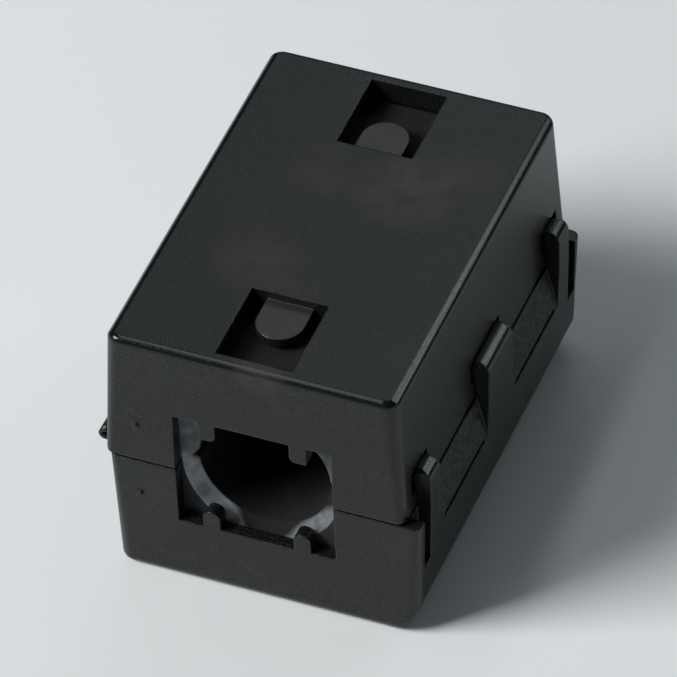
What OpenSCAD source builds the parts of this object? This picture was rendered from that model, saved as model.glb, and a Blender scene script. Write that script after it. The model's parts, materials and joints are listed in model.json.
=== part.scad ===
// Clip-on ferrite bead: two ferrite halves in a hinged case that snaps shut round a cable.
// X points to the latch side, Y along the cable, Z up. The origin is the middle of the bore.

/* [Ferrite] */
// Diameter of the bore
bore_d = 9; // [7:0.1:11]
// Width of the ferrite, across the cable
core_w = 17.2; // [15:0.1:22]
// Length of the ferrite, along the cable
core_l = 27.1; // [24:0.1:34]
// Height of one ferrite half
core_h = 8.5; // [7.5:0.1:11]
// Chamfer round both mouths of the bore
bore_chamfer = 0.8; // [0.2:0.1:1]
// Chamfer along the bore where the two halves meet
seam_chamfer = 0.35; // [0.1:0.05:0.6]

/* [Case] */
// Thickness of the side walls at the parting plane
wall_t = 1.5; // [1.2:0.1:2.5]
// Thickness of the end walls
end_t = 1; // [0.8:0.1:2]
// Thickness of the roof over the upper ferrite
roof_t = 1.6; // [1.4:0.1:2.5]
// Thickness of the floor under the lower ferrite
floor_t = 1.4; // [1.3:0.1:2.5]
// Gap beside the ferrite
side_clearance = 0.15; // [0.05:0.05:0.4]
// Gap at each end of the ferrite
end_clearance = 0.15; // [0.05:0.05:0.4]
// Gap over the upper ferrite
roof_clearance = 0.1; // [0.05:0.05:0.3]
// Gap between the two rims when the case is shut
rim_gap = 0.2; // [0.1:0.05:0.4]
// Lean of the side walls, in degrees
side_draft = 2; // [0.5:0.5:3]
// Lean of the end walls, in degrees
end_draft = 1; // [0.5:0.5:2]
// Radius of the upright edges at the roof and the floor
upright_r = 1; // [1:0.1:1.4]
// Radius of the upright edges at the parting plane
rim_upright_r = 0.6; // [0.3:0.1:1]
// Radius of the end edges of the roof
roof_r = 0.5; // [0.3:0.1:0.7]
// Radius of the long edges of the roof
roof_side_r = 0.8; // [0.8:0.1:1.2]
// Radius of the edges round the floor
floor_r = 0.7; // [0.3:0.1:1]
// Radius of the long bottom edge under the latch
latch_edge_r = 3.5; // [1.2:0.1:4]
// Radius of the long bottom edge under the hinge
hinge_edge_r = 1.4; // [1.2:0.1:2]

/* [Cable openings] */
// How far each opening is wider than the bore, at each side
mouth_side = 0.9; // [0.5:0.1:1.2]
// How far each opening is taller than the bore, at top and bottom
mouth_over = 0.15; // [0.1:0.05:0.4]
// Width of a gripping tooth
tooth_w = 1.16; // [1.12:0.02:1.4]
// How far the teeth reach inside the bore's circle
tooth_reach = 0.2; // [0.1:0.05:0.8]
// Radius of the inner corner of the upper teeth
upper_tip_r = 0.45; // [0.1:0.05:0.7]
// Radius of both corners of the lower teeth
lower_tip_r = 0.55; // [0.1:0.05:0.55]

/* [Windows] */
// Width of a window
window_w = 5.2; // [4.6:0.1:6]
// Length of a window, along the cable
window_l = 6.3; // [5.4:0.1:7]
// Distance from the end of the case to a window
window_end = 1.1; // [0.9:0.1:1.6]
// Width of the spring tongue in a window
tongue_w = 3.2; // [2.4:0.1:3.6]
// Length of the spring tongue
tongue_l = 3.4; // [2.8:0.1:4]
// Thickness of the spring tongue
tongue_t = 0.6; // [0.4:0.1:0.7]
// How deep the tongue lies under the face of the case
tongue_drop = 0.6; // [0.3:0.1:0.7]
// Diameter of the pad under the tongue that presses on the ferrite
pad_d = 1.4; // [1:0.1:2]

/* [Latch] */
// How far the lower half stands out past the upper half on the latch side
latch_out = 1; // [0.8:0.05:1.2]
// Lean of the lower half's wall on the latch side, in degrees
latch_draft = 2; // [1:0.5:4]
// Height of the hook posts over the parting plane
post_h = 3; // [2.8:0.1:4]
// Length of the middle post at its top
middle_post_l = 4; // [3:0.1:5]
// Length of each end post
end_post_l = 1.6; // [1.1:0.1:2]
// Radius of the outer corner of each end post
end_post_r = 0.4; // [0.3:0.1:0.8]
// How far a post widens down to its foot, at each open side
post_flare = 0.4; // [0:0.1:0.8]
// Radius of the outer top edge of the posts
post_r = 0.9; // [0.3:0.1:0.9]
// Gap between the posts and the upper half
post_gap = 0.06; // [0.04:0.02:0.1]
// How far the barb on a post reaches in
barb_reach = 0.25; // [0.15:0.05:0.3]
// Height of the barb's catching edge over the parting plane
barb_h = 1.6; // [1.2:0.1:1.8]
// Width of the slit at each end of the latch wall
slit_w = 1.2; // [0.6:0.1:1.4]
// Depth of the slits under the parting plane
slit_depth = 4.4; // [3.5:0.1:5.5]
// Thickness of the wings outside the slits
wing_t = 1; // [0.8:0.1:1.2]
// How far the ramps drop from the upper half's wall to the outer face
ramp_drop = 3; // [2:0.1:3.4]
// Width of the groove along the foot of each ramp
groove_w = 0.35; // [0.2:0.05:0.5]
// Depth of that groove
groove_depth = 0.6; // [0.3:0.1:0.8]
// Land between the groove and the posts
groove_land = 0.9; // [0.5:0.1:1.5]

/* [Hinge] */
// How far the hinge stands out from the case
hinge_out = 1.05; // [0.9:0.05:1.6]
// Distance from each end of the case to the hinge
hinge_inset = 1.5; // [1.2:0.1:4]
// How far the lower half's wall stands in under the upper half's at the hinge
hinge_step = 0.25; // [0:0.05:0.4]
// Lean of the lower half's wall on the hinge side, in degrees
hinge_draft = 0.5; // [0.5:0.5:2]
// Half height of the hinge's lips at the case
lip_h = 1.6; // [1.2:0.1:2.2]
// Thickness of the film
film_t = 0.25; // [0.15:0.05:0.3]
// Outer radius of the film's bend
film_r = 0.45; // [0.4:0.05:0.6]
// Straight stretch of the film between its bend and each lip
film_tab = 0.18; // [0.1:0.02:0.25]

/* [Hidden] */
$fn = 64;
overrun = 0.3;
UP = 1;
DOWN = -1;
tooth_place_share = 0.69;
facets = 32;
black_plastic = "#2b2d2f";
ferrite_grey = "#3a3b3d";

// Sizes of the case that follow from the ferrite in it
cavity_w = core_w + 2 * side_clearance;
cavity_l = core_l + 2 * end_clearance;
case_w = cavity_w + 2 * wall_t;
case_l = cavity_l + 2 * end_t;
upper_h = core_h + roof_clearance + roof_t;
lower_h = core_h + floor_t;
rim = rim_gap / 2;

// Places on the latch side
latch_x = case_w / 2 + latch_out;
latch_l = case_l - 2 * (wing_t + slit_w);
post_foot = ramp_drop + groove_w + overrun;
end_post_y = latch_l / 2 - end_post_l / 2;
barb_rise = 0.5;
barb_lead = 1.2;
pocket_margin = 0.2;
pocket_depth = barb_reach + pocket_margin;
ramp_step = 0.1;
edge_bite = 0.02;

// Places on the hinge side
hinge_x = -case_w / 2 - hinge_out + film_r;
hinge_l = case_l - 2 * hinge_inset;
lower_left = case_w / 2 - hinge_step;

// Round marks on the front end, one on each half
pip_d = 0.5;
pip_out = 0.12;
pip_place_share = 0.39;
pip_x = -pip_place_share * case_w;
pip_z = 3;

function drafted(half, h, angle) = half - h * tan(angle);
function wall_at(z) = drafted(case_w / 2, z, side_draft);

// Height of a tooth's tip that keeps its inner corner outside the circle of the cable
function tip_at(tip_r) =
    let (
        clear_r = bore_d / 2 - tooth_reach,
        corner_x = bore_d / 2 * tooth_place_share - tooth_w / 2 + tip_r
    )
    sqrt(pow(clear_r + tip_r, 2) - pow(corner_x, 2)) - tip_r;

// Draws an outline that lies in X and Z, as long as l along the cable
module along_cable(l) {
    rotate([90, 0, 0]) linear_extrude(height = l, center = true) children();
}

// Block with leaning walls, round upright edges and round edges at its closed face.
// halves are its half widths at the parting plane and leans the lean of its walls, hinge side first.
module drafted_block(side, h, halves, leans, edge_r) {
    hull()
        for (end = [-1, 1], sx = [-1, 1]) {
            half = sx < 0 ? halves[0] : halves[1];
            lean = sx < 0 ? leans[0] : leans[1];
            translate([sx * (half - rim_upright_r), end * (case_l / 2 - rim_upright_r), side * rim])
                mirror([0, 0, side > 0 ? 0 : 1])
                    cylinder(r = rim_upright_r, h = overrun, $fn = facets);
            translate([
                sx * (drafted(half, h, lean) - upright_r),
                end * (drafted(case_l / 2, h, end_draft) - upright_r),
                side * (h - edge_r)
            ])
                rotate_extrude($fn = facets)
                    intersection() {
                        translate([upright_r - edge_r, 0]) circle(r = edge_r, $fn = facets);
                        translate([0, -edge_r]) square([upright_r, 2 * edge_r]);
                    }
        }
}

// What lies outside a round corner, with the centre of its arc at the origin
module corner_waste(r) {
    difference() {
        square(r + overrun);
        circle(r = r);
    }
}

// Cuts a long edge of the roof or floor round
module edge_cutter(side, h, sx, half, lean, r) {
    mirror([0, 0, side > 0 ? 0 : 1])
        mirror([sx > 0 ? 0 : 1, 0, 0])
            along_cable(case_l + 2 * overrun)
                translate([drafted(half, h - r, lean) - r + edge_bite, h - r + edge_bite])
                    corner_waste(r);
}

// Room for the ferrite, open at the parting plane
module cavity(side, depth) {
    translate([-cavity_w / 2, -cavity_l / 2, side > 0 ? -overrun : -depth])
        cube([cavity_w, cavity_l, depth + overrun]);
}

// One gripping tooth that points at the parting plane, its inner side towards -X
module tooth(tip_r, outer_r, root) {
    tip = tip_at(tip_r);
    neck = tip + max(tip_r, outer_r);
    translate([-tooth_w / 2, neck]) square([tooth_w, root - neck]);
    translate([-tooth_w / 2 + tip_r, tip]) square([tooth_w - tip_r - outer_r, root - tip]);
    translate([-tooth_w / 2 + tip_r, tip + tip_r]) circle(r = tip_r);
    if (outer_r > 0)
        translate([tooth_w / 2 - outer_r, tip + outer_r]) circle(r = outer_r);
}

// Half of the cable opening in both end walls, with its two teeth left standing
module mouth(side, tip_r, outer_r) {
    mouth_h = bore_d / 2 + mouth_over;
    mouth_w = bore_d + 2 * mouth_side;
    mirror([0, 0, side > 0 ? 0 : 1])
        along_cable(case_l + 2 * overrun)
            difference() {
                translate([-mouth_w / 2, -overrun]) square([mouth_w, mouth_h + overrun]);
                for (sx = [-1, 1])
                    mirror([sx > 0 ? 0 : 1, 0])
                        translate([bore_d / 2 * tooth_place_share, 0])
                            tooth(tip_r, outer_r, mouth_h + overrun);
            }
}

// Window near each end of the roof or floor
module windows(side, h) {
    for (end = [-1, 1])
        mirror([0, end > 0 ? 0 : 1, 0])
            mirror([0, 0, side > 0 ? 0 : 1])
                translate([-window_w / 2, case_l / 2 - window_end - window_l, core_h - overrun])
                    cube([window_w, window_l, h - core_h + 2 * overrun]);
}

// Spring tongue in each window, with the pad that presses on the ferrite
module tongues(side, h) {
    under = h - tongue_drop - tongue_t;
    root_y = case_l / 2 - window_end - window_l;
    straight = tongue_l - tongue_w / 2;
    for (end = [-1, 1])
        mirror([0, end > 0 ? 0 : 1, 0])
            mirror([0, 0, side > 0 ? 0 : 1]) {
                translate([0, root_y, under])
                    linear_extrude(height = tongue_t) {
                        translate([-tongue_w / 2, -overrun]) square([tongue_w, straight + overrun]);
                        translate([0, straight]) circle(d = tongue_w);
                    }
                translate([0, root_y + straight, core_h])
                    cylinder(d = pad_d, h = under - core_h + tongue_t / 2);
            }
}

// Lip that carries the film, drawn for the upper half
module hinge_lip(side) {
    lip_end = hinge_x + film_tab;
    lip_root = -case_w / 2 + wall_t / 2;
    mirror([0, 0, side > 0 ? 0 : 1])
        along_cable(hinge_l)
            polygon([[lip_root, rim], [lip_end, rim], [lip_end, film_r], [lip_root, lip_h]]);
}

// Side view of the posts: they lean with the upper half's wall and carry a barb
module post_profile() {
    difference() {
        polygon([
            [wall_at(0) + post_gap, -post_foot],
            [wall_at(0) + post_gap, 0],
            [wall_at(barb_h) + post_gap, barb_h],
            [wall_at(barb_h) - barb_reach, barb_h + barb_reach / 2],
            [wall_at(barb_h) - barb_reach, barb_h + barb_rise],
            [wall_at(barb_h + barb_lead) + post_gap, barb_h + barb_lead],
            [wall_at(post_h) + post_gap, post_h],
            [latch_x, post_h],
            [latch_x, 0],
            [drafted(latch_x, post_foot, latch_draft), -post_foot]
        ]);
        translate([latch_x - post_r + edge_bite, post_h - post_r + edge_bite]) corner_waste(post_r);
    }
}

// End view of one post: its inner side, and its outer side where that is free, widen down to the foot
module post_face(l, outer_flare) {
    polygon([
        [-l / 2, post_h + overrun],
        [l / 2, post_h + overrun],
        [l / 2 + outer_flare, -post_foot - overrun],
        [-l / 2 - post_flare, -post_foot - overrun]
    ]);
}

// End view of an end post, with its outer corner round
module end_post_face() {
    difference() {
        post_face(end_post_l, 0);
        translate([end_post_l / 2 - end_post_r + edge_bite, post_h - end_post_r + edge_bite])
            corner_waste(end_post_r);
    }
}

// The three hook posts
module posts() {
    intersection() {
        along_cable(latch_l) post_profile();
        translate([case_w / 2 - wall_t, 0, 0])
            rotate([90, 0, 90])
                linear_extrude(height = wall_t + latch_out + overrun) {
                    post_face(middle_post_l, post_flare);
                    for (end = [-1, 1])
                        mirror([end > 0 ? 0 : 1, 0])
                            translate([end_post_y, 0]) end_post_face();
                }
    }
}

// Slope over the latch wall, the slits at its ends and the grooves in it
module latch_cuts() {
    ramp_x = case_w / 2 + ramp_step;
    foot_x = drafted(latch_x, ramp_drop, latch_draft);
    out_x = latch_x + overrun;
    along_cable(latch_l)
        polygon([
            [ramp_x, overrun],
            [ramp_x, -rim],
            [foot_x - edge_bite, -ramp_drop],
            [out_x, -ramp_drop],
            [out_x, overrun]
        ]);
    for (end = [-1, 1])
        translate([case_w / 2, end * (latch_l / 2 + slit_w / 2) - slit_w / 2, -slit_depth])
            cube([latch_out + overrun, slit_w, slit_depth + overrun]);
    groove_from = middle_post_l / 2 + groove_land;
    groove_to = latch_l / 2 - end_post_l - groove_land;
    for (end = [-1, 1])
        translate([foot_x - groove_depth, end > 0 ? groove_from : -groove_to, -ramp_drop - groove_w / 2])
            cube([groove_depth + latch_out, groove_to - groove_from, groove_w]);
}

// Shallow pockets in the upper half that take the barbs
module barb_pockets() {
    pocket_h = barb_lead + 2 * pocket_margin;
    spans = [[-end_post_y, end_post_l], [0, middle_post_l], [end_post_y, end_post_l]];
    for (span = spans) {
        l = span[1] + 2 * post_flare + 2 * pocket_margin;
        translate([wall_at(barb_h) - pocket_depth, span[0] - l / 2, barb_h - pocket_margin])
            cube([pocket_depth + overrun, l, pocket_h]);
    }
}

// Small round mark on the front end of one half
module pip(side) {
    y = -drafted(case_l / 2, pip_z, end_draft);
    translate([pip_x, y + overrun, side * pip_z])
        rotate([90, 0, 0]) cylinder(d = pip_d, h = overrun + pip_out);
}

// One ferrite half over or under the parting plane
module core_half(side) {
    mirror([0, 0, side > 0 ? 0 : 1])
        difference() {
            translate([-core_w / 2, -core_l / 2, 0]) cube([core_w, core_l, core_h]);
            rotate([90, 0, 0]) cylinder(d = bore_d, h = core_l + 2 * overrun, center = true);
            for (end = [-1, 1])
                translate([0, end * core_l / 2, 0])
                    rotate([end * 90, 0, 0])
                        translate([0, 0, -overrun])
                            cylinder(r1 = bore_d / 2 + bore_chamfer + overrun, r2 = bore_d / 2,
                                h = bore_chamfer + overrun);
            for (sx = [-1, 1])
                translate([sx * bore_d / 2, 0, 0])
                    along_cable(core_l + 2 * overrun)
                        rotate(45) square(seam_chamfer * sqrt(2), center = true);
        }
}

module upper_case() {
    color(black_plastic) {
        difference() {
            union() {
                drafted_block(UP, upper_h, [case_w / 2, case_w / 2], [side_draft, side_draft], roof_r);
                hinge_lip(UP);
                pip(UP);
            }
            for (sx = [-1, 1])
                edge_cutter(UP, upper_h, sx, case_w / 2, side_draft, roof_side_r);
            cavity(UP, core_h + roof_clearance);
            mouth(UP, upper_tip_r, 0);
            windows(UP, upper_h);
            barb_pockets();
        }
        tongues(UP, upper_h);
    }
}

module lower_case() {
    color(black_plastic) {
        difference() {
            union() {
                drafted_block(DOWN, lower_h, [lower_left, latch_x], [hinge_draft, latch_draft], floor_r);
                hinge_lip(DOWN);
                pip(DOWN);
            }
            edge_cutter(DOWN, lower_h, 1, latch_x, latch_draft, latch_edge_r);
            edge_cutter(DOWN, lower_h, -1, lower_left, hinge_draft, hinge_edge_r);
            cavity(DOWN, core_h);
            mouth(DOWN, lower_tip_r, lower_tip_r);
            windows(DOWN, lower_h);
            latch_cuts();
        }
        posts();
        tongues(DOWN, lower_h);
    }
}

module hinge_film() {
    inner_r = film_r - film_t;
    color(black_plastic)
        along_cable(hinge_l)
            translate([hinge_x, 0]) {
                difference() {
                    circle(r = film_r);
                    circle(r = inner_r);
                    translate([0, -film_r - overrun]) square(2 * (film_r + overrun));
                }
                for (sz = [-1, 1])
                    translate([0, sz > 0 ? inner_r : -film_r]) square([film_tab, film_t]);
            }
}

module lower_core() {
    color(ferrite_grey) core_half(DOWN);
}

module upper_core() {
    color(ferrite_grey) core_half(UP);
}

lower_case();
upper_case();
hinge_film();
lower_core();
upper_core();
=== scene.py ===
# %% [markdown]
# # A clip-on ferrite bead
#
# The real object is a small moulded box that snaps shut round a cable. Each half of the box holds
# half of a ferrite core, and a thin film of the same plastic is the hinge. The solids come from the
# imported CAD model, so this lesson leaves their places and sizes alone. It gives them the finish of
# the real surfaces, builds the hinge film as a thin strip bent round as in the shut lid, and lights
# the bead like a product on a pale table.

# %% Load the imported model
import json
import math

import bpy
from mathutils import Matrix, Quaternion, Vector

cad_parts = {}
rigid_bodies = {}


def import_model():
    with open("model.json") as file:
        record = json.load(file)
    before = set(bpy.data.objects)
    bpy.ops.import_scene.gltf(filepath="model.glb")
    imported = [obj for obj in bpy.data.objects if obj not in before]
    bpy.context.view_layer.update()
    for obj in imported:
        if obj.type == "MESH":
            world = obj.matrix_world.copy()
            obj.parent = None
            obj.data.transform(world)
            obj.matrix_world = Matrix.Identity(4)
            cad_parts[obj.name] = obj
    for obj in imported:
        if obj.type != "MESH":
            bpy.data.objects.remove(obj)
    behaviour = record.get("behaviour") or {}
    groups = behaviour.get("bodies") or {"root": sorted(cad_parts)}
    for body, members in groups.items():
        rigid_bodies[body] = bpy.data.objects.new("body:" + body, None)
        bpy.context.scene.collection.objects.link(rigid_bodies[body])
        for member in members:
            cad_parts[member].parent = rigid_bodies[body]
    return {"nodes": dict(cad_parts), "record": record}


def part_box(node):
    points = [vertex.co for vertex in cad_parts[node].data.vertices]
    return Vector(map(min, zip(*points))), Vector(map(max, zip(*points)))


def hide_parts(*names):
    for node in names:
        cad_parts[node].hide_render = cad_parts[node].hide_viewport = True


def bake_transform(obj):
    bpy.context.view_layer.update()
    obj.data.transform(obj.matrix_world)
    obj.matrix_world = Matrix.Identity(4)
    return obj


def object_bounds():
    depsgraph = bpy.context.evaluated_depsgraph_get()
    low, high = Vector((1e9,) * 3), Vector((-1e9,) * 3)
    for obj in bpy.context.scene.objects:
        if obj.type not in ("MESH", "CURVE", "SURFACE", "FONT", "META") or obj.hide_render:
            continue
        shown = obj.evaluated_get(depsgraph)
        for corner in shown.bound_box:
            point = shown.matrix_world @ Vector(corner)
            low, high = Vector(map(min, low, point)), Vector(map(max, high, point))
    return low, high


MM = 0.001

for leftover in list(bpy.data.objects):
    bpy.data.objects.remove(leftover)
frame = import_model()
nodes = frame["nodes"]
cad_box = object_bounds()
print("nodes:", ", ".join(sorted(nodes)))
print("box in mm:", [[round(value / MM, 2) for value in corner] for corner in cad_box])

# %% [markdown]
# ## The camera
#
# The photograph looks down on the bead from its front right, through a long lens that hardly
# narrows the far end. A camera could be aimed by eye, but a fit to the edges of the box is surer.
# The fit gave the viewing angle, the distance and a slight roll, and those few numbers are enough
# to rebuild it here.

# %% Camera at the photograph's view
VIEW_AZIMUTH = math.radians(23.297)
VIEW_ELEVATION = math.radians(43.684)
VIEW_ROLL = math.radians(-2.709)
VIEW_DISTANCE = 516.8 * MM
VIEW_TARGET = Vector((0.0, 0.01, -0.04)) * MM
LENS_MM = 425.3
SENSOR_MM = 36.0

level = math.cos(VIEW_ELEVATION)
towards_camera = Vector((
    level * math.sin(VIEW_AZIMUTH),
    -level * math.cos(VIEW_AZIMUTH),
    math.sin(VIEW_ELEVATION),
))
camera = bpy.data.objects.new("camera", bpy.data.cameras.new("camera"))
bpy.context.scene.collection.objects.link(camera)
camera.location = VIEW_TARGET + towards_camera * VIEW_DISTANCE
camera.rotation_mode = "QUATERNION"
aim = towards_camera.to_track_quat("Z", "Y")
camera.rotation_quaternion = aim @ Quaternion((0, 0, 1), VIEW_ROLL)
camera.data.lens = LENS_MM
camera.data.sensor_width = SENSOR_MM
bpy.context.scene.camera = camera
print("camera at", [round(value / MM, 1) for value in camera.location], "mm")

# %% [markdown]
# ## Sums on sockets
#
# A finish is made of shader nodes, and most of them do sums: one mask times another, or one minus a
# mask. Adding each Math node by hand hides the sum, so a small class wraps a socket and takes the
# operators of Python. An expression such as `1 - mask` then adds its own nodes.

# %% A socket that can be used in sums
class Wire:
    """One output socket of a finish. Arithmetic on it adds Math nodes to the same finish."""

    def __init__(self, finish, socket):
        self.finish = finish
        self.socket = socket

    def sum(self, operation, *values):
        return self.finish.node("ShaderNodeMath", {"operation": operation}, dict(enumerate(values)))

    def __add__(self, other):
        return self.sum("ADD", self, other)

    def __radd__(self, other):
        return self.sum("ADD", other, self)

    def __sub__(self, other):
        return self.sum("SUBTRACT", self, other)

    def __rsub__(self, other):
        return self.sum("SUBTRACT", other, self)

    def __mul__(self, other):
        return self.sum("MULTIPLY", self, other)

    def __rmul__(self, other):
        return self.sum("MULTIPLY", other, self)

    def __pow__(self, other):
        return self.sum("POWER", self, other)

    def __abs__(self):
        return self.sum("ABSOLUTE", self)

    def rise(self, start, end):
        """0 before start, 1 after end, with a soft step between them."""
        return self.finish.node(
            "ShaderNodeMapRange",
            {"interpolation_type": "SMOOTHSTEP"},
            {"Value": self, "From Min": start, "From Max": end},
        )


print("sums on sockets: + - * ** abs() and a soft step")

# %% [markdown]
# ## One method for every node
#
# A finish holds one material. Its `node` method takes the type of a node, the settings that have to
# be there first, such as the operation of a Math node, and then the values or links of its sockets.
# It gives back the output that is asked for, ready for the next sum.

# %% A finish and its node method
class Finish:
    """A material whose nodes are added one call at a time."""

    def __init__(self, name):
        self.material = bpy.data.materials.new(name)
        self.material.use_nodes = True
        self.tree = self.material.node_tree
        self.tree.nodes.clear()

    def node(self, kind, settings=None, sockets=None, out=0):
        made = self.tree.nodes.new(kind)
        for name, value in (settings or {}).items():
            setattr(made, name, value)
        for key, value in (sockets or {}).items():
            if isinstance(value, Wire):
                self.tree.links.new(value.socket, made.inputs[key])
            else:
                made.inputs[key].default_value = value
        return Wire(self, made.outputs[out]) if made.outputs else made

    def blend(self, share, first, second):
        """A colour between two colours."""
        return self.node(
            "ShaderNodeMix",
            {"data_type": "RGBA"},
            {"Factor": share, 6: first, 7: second},
            out=2,
        )

    def place_mm(self):
        """Position on the object in millimetres."""
        place = self.node("ShaderNodeTexCoord", out="Object")
        return self.vectors("MULTIPLY", place, (1 / MM, 1 / MM, 1 / MM))

    def vectors(self, operation, first, second, out="Vector"):
        """A sum on two vectors. Distances and dot products come out as a Value."""
        return self.node(
            "ShaderNodeVectorMath", {"operation": operation}, {0: first, 1: second}, out
        )

    def axis(self, vector, letter):
        return self.node("ShaderNodeSeparateXYZ", {}, {0: vector}, out=letter)

    def noise(self, place, per_mm, detail, roughness=0.55, distortion=0.0):
        shape = {"Detail": detail, "Roughness": roughness, "Distortion": distortion}
        return self.node("ShaderNodeTexNoise", {}, {"Vector": place, "Scale": per_mm, **shape})

    def surface(self, shader):
        self.node("ShaderNodeOutputMaterial", {}, {"Surface": shader})
        print(self.material.name, "has", len(self.tree.nodes), "nodes")
        return self.material


print("finishes are ready to be made")

# %% [markdown]
# ## Rounded and rubbed edges
#
# Every moulded edge is a little round, so it catches a thin line of light, and hands rub it
# smoother than the faces. The edges could be bevelled in the mesh, but the solids hold many short
# facets, so a Bevel node rounds the shading alone. Where its direction parts from the plain one
# there is an edge, and that is the mask of the rubbing. The same mask paints the edges a little
# paler, partly as rubbed wear and partly as a painted highlight. Both finishes end in the same way,
# with bumps on the rounded edges under one shader.

# %% Edge shading and its mask
EDGE_RADIUS = 0.16 * MM
RUB_RADIUS = 0.35 * MM
EDGE_SAMPLES = 6


def rounded_edges(finish, radius):
    return finish.node("ShaderNodeBevel", {"samples": EDGE_SAMPLES}, {"Radius": radius})


# Mask of the rubbed edges; it also paints them paler, partly as a painted highlight.
def rubbed_edges_and_highlight(finish):
    wide = rounded_edges(finish, RUB_RADIUS)
    plain = finish.node("ShaderNodeNewGeometry", out="Normal")
    return (1 - finish.vectors("DOT_PRODUCT", wide, plain, "Value")).rise(0.02, 0.3)


def bumped_surface(finish, look, bumps):
    """Bumps on rounded edges, under one Principled shader."""
    edges = rounded_edges(finish, EDGE_RADIUS)
    normal = finish.node("ShaderNodeBump", {}, {**bumps, "Normal": edges})
    shader = finish.node("ShaderNodeBsdfPrincipled", {}, {**look, "Normal": normal})
    return finish.surface(shader)


print("edges are rounded by", EDGE_RADIUS / MM, "mm and rubbed over", RUB_RADIUS / MM, "mm")

# %% [markdown]
# ## Marks of one place
#
# Some surfaces of the case differ from the rest. The ramps beside the latch posts keep the coarse
# texture of the mould, and their colour is painted a paler grey, a painted sheen of their slope. The
# spring tongues are painted paler, a painted sheen, and fingers rub the edges of the roof and the
# posts smooth. Thumbs leave pale smudges where the lid is pressed shut, and one more pale mark along
# the rim of the front window is a painted highlight. Painted vertex colours could mark these places,
# but the solids' faces are too uneven for that. Position and direction are known everywhere, so soft
# steps on them make the masks.

# %% Coarse ramps beside the posts
RAMP_TOP_MM = -0.15
RAMP_FOOT_MM = -2.95
RAMP_INNER_MM = 10.3
SOFT_MM = 0.1


def latch_ramps(finish, place, facing):
    x_mm, z_mm = finish.axis(place, "X"), finish.axis(place, "Z")
    above_foot = z_mm.rise(RAMP_FOOT_MM - SOFT_MM, RAMP_FOOT_MM + SOFT_MM)
    below_top = 1 - z_mm.rise(RAMP_TOP_MM, RAMP_TOP_MM + SOFT_MM)
    outside = x_mm.rise(RAMP_INNER_MM, RAMP_INNER_MM + SOFT_MM)
    sloping = finish.axis(facing, "X").rise(0.6, 0.8) * finish.axis(facing, "Z").rise(0.1, 0.2)
    return above_foot * below_top * outside * sloping


print("ramps from", RAMP_FOOT_MM, "to", RAMP_TOP_MM, "mm")

# %% Painted sheen on the spring tongues
ROOF_TONGUE_MM = 9.6
FLOOR_TONGUE_MM = -9.3


# Mask of the tongue surfaces, which are painted paler as a painted sheen.
def painted_tongue_sheen(finish, place, facing):
    z_mm, up = finish.axis(place, "Z"), finish.axis(facing, "Z")
    in_roof = (1 - abs(z_mm - ROOF_TONGUE_MM).rise(0.02, 0.06)) * up.rise(0.8, 0.95)
    in_floor = (1 - abs(z_mm - FLOOR_TONGUE_MM).rise(0.02, 0.06)) * (0 - up).rise(0.8, 0.95)
    return in_roof + in_floor


print("tongues at", ROOF_TONGUE_MM, "and", FLOOR_TONGUE_MM, "mm")

# %% Handled edges of the roof and the posts
ROOF_EDGE_MM = 9.3
POST_INNER_MM = 10.3
POST_LOW_MM = 2.0
POST_HIGH_MM = 3.3


def handled_edges(finish, place, facing):
    x_mm, z_mm = finish.axis(place, "X"), finish.axis(place, "Z")
    up = finish.axis(facing, "Z")
    on_roof = z_mm.rise(ROOF_EDGE_MM - SOFT_MM, ROOF_EDGE_MM) * (1 - up.rise(0.975, 0.998))
    post_tops = z_mm.rise(POST_LOW_MM, POST_LOW_MM + 2 * SOFT_MM)
    below_roof = 1 - z_mm.rise(POST_HIGH_MM, POST_HIGH_MM + 2 * SOFT_MM)
    on_posts = x_mm.rise(POST_INNER_MM, POST_INNER_MM + SOFT_MM) * post_tops * below_roof
    return (on_roof + on_posts) * up.rise(0.15, 0.35)


print("handled edges above", ROOF_EDGE_MM, "mm and on the posts")

# %% Thumb smudges and a painted rim highlight on the roof
ROOF_MM = 10.2
SMUDGE_CORE = 0.2
# Place on the roof and reach in mm, then the share of the mark. The last one is a painted
# highlight along the front window's rim; the others are smudges.
SMUDGES_AND_RIM_HIGHLIGHT = (
    (3.5, 4.4, 4.6, 0.9),
    (-3.3, -4.6, 3.8, 0.55),
    (-2.4, 4.2, 3.4, 0.35),
    (6.9, 7.0, 2.8, 0.35),
    (-0.2, -5.6, 2.6, 0.3),
    # Painted highlight along the rim of the front window.
    (0.6, -13.7, 2.4, 1.0),
)


def smudges_and_rim_highlight(finish, place):
    streaks = finish.noise(place, 0.5, 5.0, roughness=0.55, distortion=0.3).rise(0.25, 0.65)
    total = 0
    for x_mm, y_mm, reach, share in SMUDGES_AND_RIM_HIGHLIGHT:
        away = finish.vectors("DISTANCE", place, (x_mm, y_mm, ROOF_MM), "Value")
        total = (1 - away.rise(SMUDGE_CORE * reach, reach)) * share + total
    return total * streaks


print(len(SMUDGES_AND_RIM_HIGHLIGHT), "smudges on the roof")

# %% [markdown]
# ## Black moulded plastic
#
# The case is moulded nylon with a fine spark-eroded grain. It isn't one flat black: the plastic
# itself is very dark, and what the eye sees is its sheen, broken up by the grain and by marks of
# handling. The grain could be modelled, but it is finer than a tenth of a millimetre, so fine noise
# drives a bump, the roughness and a slight speckle of the colour together.

# %% Tones and grain of the plastic
PLASTIC_DARK = (0.0040, 0.0056, 0.0054, 1)
PLASTIC_PALE = (0.0270, 0.0275, 0.0290, 1)
# Grey of the smudges, also used for the painted highlight at the front window's rim.
SMUDGE_AND_HIGHLIGHT_GREY = (0.0430, 0.0385, 0.0440, 1)
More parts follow.
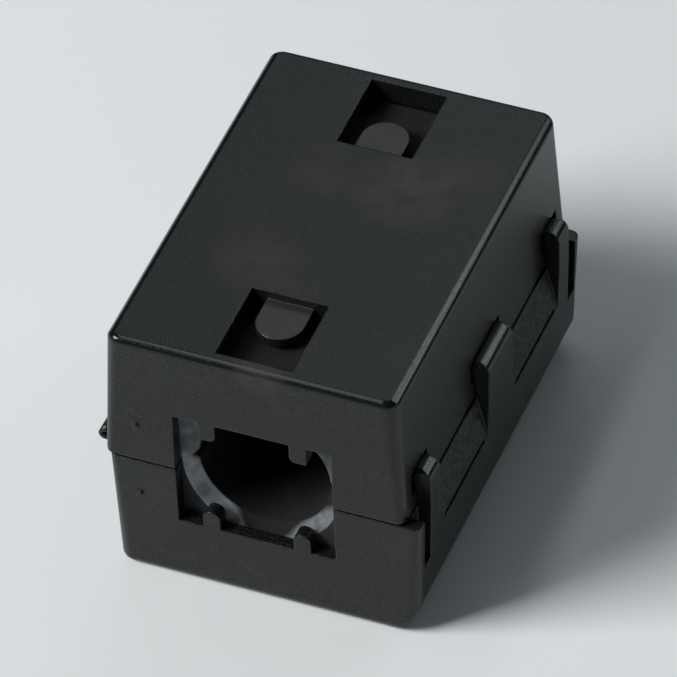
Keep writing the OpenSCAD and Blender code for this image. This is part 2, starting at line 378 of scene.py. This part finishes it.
# Paler grey painted on the ramps as a painted sheen of their slope.
RAMP_SHEEN_GREY = (0.0700, 0.0790, 0.0900, 1)
PLASTIC_ROUGHNESS = 0.30
PLASTIC_IOR = 1.40
GRAIN_PER_MM = 10.0
GRAIN_DEPTH = 0.018 * MM
COARSE_PER_MM = 2.0
COARSE_TO_GRAIN = 4.0
CLOUD_PER_MM = 0.16
SCUFF_PER_MM = 0.9
NOISE_MIDDLE = 0.5
print("grain:", GRAIN_PER_MM, "per mm,", round(GRAIN_DEPTH / MM, 3), "mm deep")


# %% The plastic of the case
def case_plastic():
    finish = Finish("case_plastic_grained")
    place = finish.place_mm()
    facing = finish.node("ShaderNodeTexCoord", out="Normal")
    ramp = latch_ramps(finish, place, facing)
    tongue_sheen = painted_tongue_sheen(finish, place, facing)
    smudge_and_highlight = smudges_and_rim_highlight(finish, place)
    rubbed_and_highlight = rubbed_edges_and_highlight(finish)
    handled = handled_edges(finish, place, facing)

    grain = finish.noise(place, GRAIN_PER_MM, 1.5, roughness=0.6)
    coarse = finish.noise(place, COARSE_PER_MM, 5.0, roughness=0.8, distortion=0.6)
    cloud = finish.noise(place, CLOUD_PER_MM, 5.0, roughness=0.62, distortion=0.8)
    scuff = finish.noise(place, SCUFF_PER_MM, 6.0, roughness=0.7)

    specks = grain.rise(0.48, 0.72) * (0.95 - handled * 0.7)
    wear = cloud.rise(0.45, 0.75) * 0.12 + scuff.rise(0.52, 0.8) * 0.14
    # The tongues' share here is a painted sheen, and the edges' share is rubbed wear and a painted
    # highlight.
    pale = specks + wear + tongue_sheen * 0.75 + rubbed_and_highlight * 0.25
    colour = finish.blend(pale, PLASTIC_DARK, PLASTIC_PALE)
    # The smudge grey also paints a highlight along the front window's rim.
    colour = finish.blend(smudge_and_highlight * 0.8, colour, SMUDGE_AND_HIGHLIGHT_GREY)
    # The ramps are painted a paler grey, a painted sheen of their slope, over their real coarse
    # texture.
    colour = finish.blend(ramp * coarse.rise(0.46, 0.62) * 0.7, colour, RAMP_SHEEN_GREY)

    duller = (grain - NOISE_MIDDLE) * 0.25 + smudge_and_highlight * 0.05 + ramp * 0.2
    smoother = rubbed_and_highlight * 0.06 + handled * 0.15
    roughness = PLASTIC_ROUGHNESS + duller - smoother
    fine = (grain - NOISE_MIDDLE) * (1 - handled * 0.92)
    height = fine + ramp * (coarse - NOISE_MIDDLE) * COARSE_TO_GRAIN
    return bumped_surface(
        finish,
        {"Base Color": colour, "Roughness": roughness, "IOR": PLASTIC_IOR},
        {"Strength": 1.0, "Distance": GRAIN_DEPTH, "Height": height},
    )


plastic = case_plastic()

# %% [markdown]
# ## Sintered ferrite
#
# Ferrite is pressed powder, fired hard. It is dark grey and dry, with tiny pits and crystals, and
# its end faces are a paler grey. Those of the upper half are painted paler still, as painted light.
# Two of its surfaces are ground after firing: the chamfer at each mouth of the bore, which carries
# painted highlights in two arcs, and the flat faces where the two halves meet, which show fine
# parallel lines. The distance from the bore's axis picks out the chamfer, the turn round that axis
# its painted highlight arcs, and the height the flat faces.

# %% Ground surfaces of the core, with painted highlight arcs
BORE_R_MM = 4.5
CHAMFER_MM = 0.8
CORE_END_MM = 13.55
# Each painted highlight arc: middle, half of its full part and half of all of it in degrees, then
# its share.
PAINTED_HIGHLIGHT_ARCS = ((214, 28, 40, 1.5), (318, 16, 30, 0.65))
LINE_STRETCH = (9.0, 0.25, 1.0)


def ground_chamfer(finish, place):
    x_mm, y_mm, z_mm = (finish.axis(place, letter) for letter in "XYZ")
    from_axis = (x_mm ** 2 + z_mm ** 2) ** 0.5
    start, rim = CORE_END_MM - CHAMFER_MM, BORE_R_MM + CHAMFER_MM
    near_end = abs(y_mm).rise(start - SOFT_MM, start + SOFT_MM)
    return near_end * (1 - from_axis.rise(rim, rim + SOFT_MM))


def painted_chamfer_highlights(finish, place):
    """Painted highlights on the chamfer: bright arcs at the left and at the lower right."""
    x_mm, z_mm = finish.axis(place, "X"), finish.axis(place, "Z")
    middle_r = BORE_R_MM + CHAMFER_MM / 2
    arcs = 0
    for degrees, narrow, wide, share in PAINTED_HIGHLIGHT_ARCS:
        turn = math.radians(degrees)
        along = x_mm * (math.cos(turn) / middle_r) + z_mm * (math.sin(turn) / middle_r)
        edge, full = math.cos(math.radians(wide)), math.cos(math.radians(narrow))
        arcs = along.rise(edge, full) * share + arcs
    return arcs


def ground_flat(finish, place, facing):
    at_seam = 1 - abs(finish.axis(place, "Z")).rise(0.03, 0.08)
    return at_seam * abs(finish.axis(facing, "Z")).rise(0.9, 0.98)


def grinding_lines(finish, place):
    stretched = finish.vectors("MULTIPLY", place, LINE_STRETCH)
    return finish.noise(stretched, 1.0, 4.0, roughness=0.6)


print("chamfer", CHAMFER_MM, "mm wide at", CORE_END_MM, "mm")

# %% Tones and powder of the ferrite
FERRITE_DARK = (0.0050, 0.0050, 0.0058, 1)
FERRITE_PALE = (0.300, 0.322, 0.350, 1)
FERRITE_ROUGHNESS = 0.88
FERRITE_IOR = 1.40
POWDER_PER_MM = 9.0
CRYSTALS_PER_MM = 11.0
PATCHES_PER_MM = 0.7
# Scale of the noise that breaks up the painted chamfer highlights.
HIGHLIGHT_BREAKUP_PER_MM = 1.2
PIT_DEPTH = 0.02 * MM
PIT_STRENGTH = 0.45
print("powder:", POWDER_PER_MM, "per mm, pits", round(PIT_DEPTH / MM, 3), "mm deep")


# %% The ferrite of the core
def sintered_ferrite():
    finish = Finish("ferrite_sintered")
    place = finish.place_mm()
    facing = finish.node("ShaderNodeTexCoord", out="Normal")
    chamfer = ground_chamfer(finish, place)
    flat = ground_flat(finish, place, facing)
    lines = grinding_lines(finish, place)

    powder = finish.noise(place, POWDER_PER_MM, 4.0, roughness=0.7)
    patches = finish.noise(place, PATCHES_PER_MM, 4.0)
    highlight_breakup = finish.noise(place, HIGHLIGHT_BREAKUP_PER_MM, 3.0, roughness=0.5)
    cells = {"Vector": place, "Scale": CRYSTALS_PER_MM}
    crystal = finish.node("ShaderNodeTexVoronoi", {}, cells, out="Distance")

    upper = finish.axis(place, "Z").rise(-0.2, 0.2)
    along_bore = abs(finish.axis(facing, "Y"))
    # End faces are a paler grey; those of the upper half are painted paler still, as painted light.
    end_tone_and_painted_light = along_bore.rise(0.6, 0.7) * upper * 0.85 + along_bore.rise(0.8, 0.95) * 0.15
    # Painted highlights on the chamfer, dimmer on the upper half.
    painted_highlight = chamfer * painted_chamfer_highlights(finish, place) * (1 - upper * 0.6)
    pale = powder.rise(0.35, 0.75) * 0.025 + end_tone_and_painted_light * (patches.rise(0.4, 0.65) * 0.3 + 0.32)
    pale = pale + painted_highlight * (highlight_breakup.rise(0.3, 0.7) * 0.5 + 0.4) + flat * (lines * 0.3 + 0.2)
    colour = finish.blend(pale, FERRITE_DARK, FERRITE_PALE)

    smoother = painted_highlight * 0.4 + flat * (0.5 - lines * 0.16)
    roughness = FERRITE_ROUGHNESS + (powder - NOISE_MIDDLE) * 0.2 - smoother
    height = (powder * 0.6 + crystal * 0.4) * (1 - flat * 0.8) + flat * lines * 0.5
    return bumped_surface(
        finish,
        {"Base Color": colour, "Roughness": roughness, "IOR": FERRITE_IOR},
        {"Strength": PIT_STRENGTH, "Distance": PIT_DEPTH, "Height": height},
    )


ferrite = sintered_ferrite()

# %% [markdown]
# ## Dressing the solids
#
# The shapes of the CAD solids are right, so they stay and only change their clothes. The record
# says which material slot each node has, and that is surer than a list of names kept here.

# %% Put the finishes on the solids
FINISH_OF_SLOT = {"case_plastic": plastic, "ferrite": ferrite}
for subpart in frame["record"]["subparts"]:
    solid = nodes[subpart["node"]]
    solid.data.materials.clear()
    solid.data.materials.append(FINISH_OF_SLOT[subpart["material_slot"]])
    print(subpart["node"], "wears", solid.data.materials[0].name)

# %% [markdown]
# ## The hinge film
#
# On the real part the hinge is a thin film of the case's own plastic, bent round when the lid is
# shut and nearly flat when it is open. A rigid solid can't do that, and this strip is built only
# in its shut shape. The strip takes its size from the box of the CAD film.

# %% Middle line of the film
FILM_BEND_STEPS = 28
FILM_T = 0.25 * MM

film_low, film_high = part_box("hinge_film")
film_r = film_high.z
film_middle_r = film_r - FILM_T / 2
hinge_x = film_low.x + film_r
tab = film_high.x - hinge_x


def film_middle_line():
    """Points and outward directions along the film's middle, from the lower lip to the upper."""
    line = [(hinge_x + tab, -film_middle_r, 0.0, -1.0)]
    for step in range(FILM_BEND_STEPS + 1):
        turn = math.pi * step / FILM_BEND_STEPS
        out_x, out_z = -math.sin(turn), -math.cos(turn)
        line.append((hinge_x + film_middle_r * out_x, film_middle_r * out_z, out_x, out_z))
    line.append((hinge_x + tab, film_middle_r, 0.0, 1.0))
    return line


line = film_middle_line()
print("film bends round", round(film_middle_r / MM, 3), "mm in", len(line), "points")

# %% Skin of the film
FILM_LENGTH_STEPS = 40

ring = [(x + ox * FILM_T / 2, z + oz * FILM_T / 2) for x, z, ox, oz in line]
ring += [(x - ox * FILM_T / 2, z - oz * FILM_T / 2) for x, z, ox, oz in reversed(line)]
around = len(ring)
film_length = film_high.y - film_low.y
stations = [
    film_low.y + film_length * step / FILM_LENGTH_STEPS for step in range(FILM_LENGTH_STEPS + 1)
]
points = [(x, y, z) for y in stations for x, z in ring]
faces = []
for first in range(0, FILM_LENGTH_STEPS * around, around):
    for i in range(around):
        beside = (i + 1) % around
        faces.append((first + i, first + beside, first + around + beside, first + around + i))
last_ring = FILM_LENGTH_STEPS * around
for i in range(around // 2 - 1):
    opposite = around - 1 - i
    faces.append((i, opposite, opposite - 1, i + 1))
    faces.append((last_ring + i, last_ring + i + 1, last_ring + opposite - 1, last_ring + opposite))
print("film skin:", len(points), "points,", len(faces), "faces")

# %% The film as a strip
film_mesh = bpy.data.meshes.new("hinge_film_strip")
film_mesh.from_pydata(points, [], faces)
film_mesh.validate()
film_mesh.polygons.foreach_set("use_smooth", [True] * len(film_mesh.polygons))
film = bpy.data.objects.new("hinge_film_strip", film_mesh)
bpy.context.scene.collection.objects.link(film)
film.data.materials.append(plastic)
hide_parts("hinge_film")
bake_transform(film)
print("film blends from the case to the lid at", round(hinge_x / MM, 2), "mm")

# %% [markdown]
# ## The table
#
# The bead lies on a pale table. A plain sheet with a matt cover is enough, because the camera looks
# down and never sees its end. The sheet is a stage, not a part of the object.

# %% A pale table
TABLE_HALF = 1.5
TABLE_COLOUR = (0.84, 0.87, 0.88, 1)

table_z = cad_box[0][2]
signs = ((-1, -1), (1, -1), (1, 1), (-1, 1))
corners = [(sx * TABLE_HALF, sy * TABLE_HALF, table_z) for sx, sy in signs]
table_mesh = bpy.data.meshes.new("table")
table_mesh.from_pydata(corners, [], [(0, 1, 2, 3)])
table = bpy.data.objects.new("table", table_mesh)
bpy.context.scene.collection.objects.link(table)
cover = Finish("table_cover")
matt = cover.node("ShaderNodeBsdfDiffuse", {}, {"Color": TABLE_COLOUR})
table.data.materials.append(cover.surface(matt))
print("table at", round(table_z / MM, 2), "mm")

# %% [markdown]
# ## The light
#
# Black plastic shows little of its own colour, so its shape is read from what it reflects. One
# softbox at the front left lights the table and leaves the right side of the bead in its own
# shadow. The other lamps are dim and stand where one surface mirrors them: a panel behind for the
# sheen of the roof, a strip overhead for the bright line on the front edge, and a strip at the back
# right for the line on the long right edge. Two dim panels, low at the right and in front, give the
# latch side and the roof a sheen when they are seen from other sides.

# %% The lamps
COOL = (0.90, 0.97, 1.0)
PLAIN = (1.0, 1.0, 1.0)
# Place and size in metres, turn in degrees, power in watts, tint.
LAMPS = {
    "key_softbox": ((-0.45, -0.34, 0.47), (0.30, 0.30), 0, 5.6, PLAIN),
    "overhead_strip": ((-0.225, -0.02, 0.745), (0.80, 0.07), 0, 0.55, COOL),
    "roof_panel": ((-0.13, 0.53, 0.55), (0.30, 0.30), 0, 0.39, COOL),
    "edge_strip": ((0.387, 0.518, 0.437), (0.70, 0.05), 53, 0.60, COOL),
    "right_panel": ((0.95, -0.10, 0.09), (0.80, 0.16), 0, 0.30, COOL),
    "front_panel": ((0.05, -1.0, 0.42), (0.90, 0.50), 0, 0.28, COOL),
}

for name, (place, size, turn, watts, tint) in LAMPS.items():
    light = bpy.data.lights.new(name, "AREA")
    light.shape = "RECTANGLE"
    light.size, light.size_y = size
    light.energy = watts
    light.color = tint
    holder = bpy.data.objects.new(name, light)
    bpy.context.scene.collection.objects.link(holder)
    holder.location = place
    holder.rotation_mode = "QUATERNION"
    roll = Quaternion((0, 0, 1), math.radians(turn))
    holder.rotation_quaternion = Vector(place).to_track_quat("Z", "Y") @ roll
    print(name, watts, "W")

# %% [markdown]
# ## The room
#
# A dim even room fills the shadows a little, so that no side of the bead falls to pure black. The
# colours are shown as they are, with the standard view transform.

# %% A dim room
ROOM_COLOUR = (1, 1, 1, 1)
ROOM_LEVEL = 0.012

world = bpy.data.worlds.new("pale_room")
world.use_nodes = True
background = world.node_tree.nodes["Background"]
background.inputs["Color"].default_value = ROOM_COLOUR
background.inputs["Strength"].default_value = ROOM_LEVEL
bpy.context.scene.world = world
bpy.context.scene.view_settings.view_transform = "Standard"
print("room level", ROOM_LEVEL)
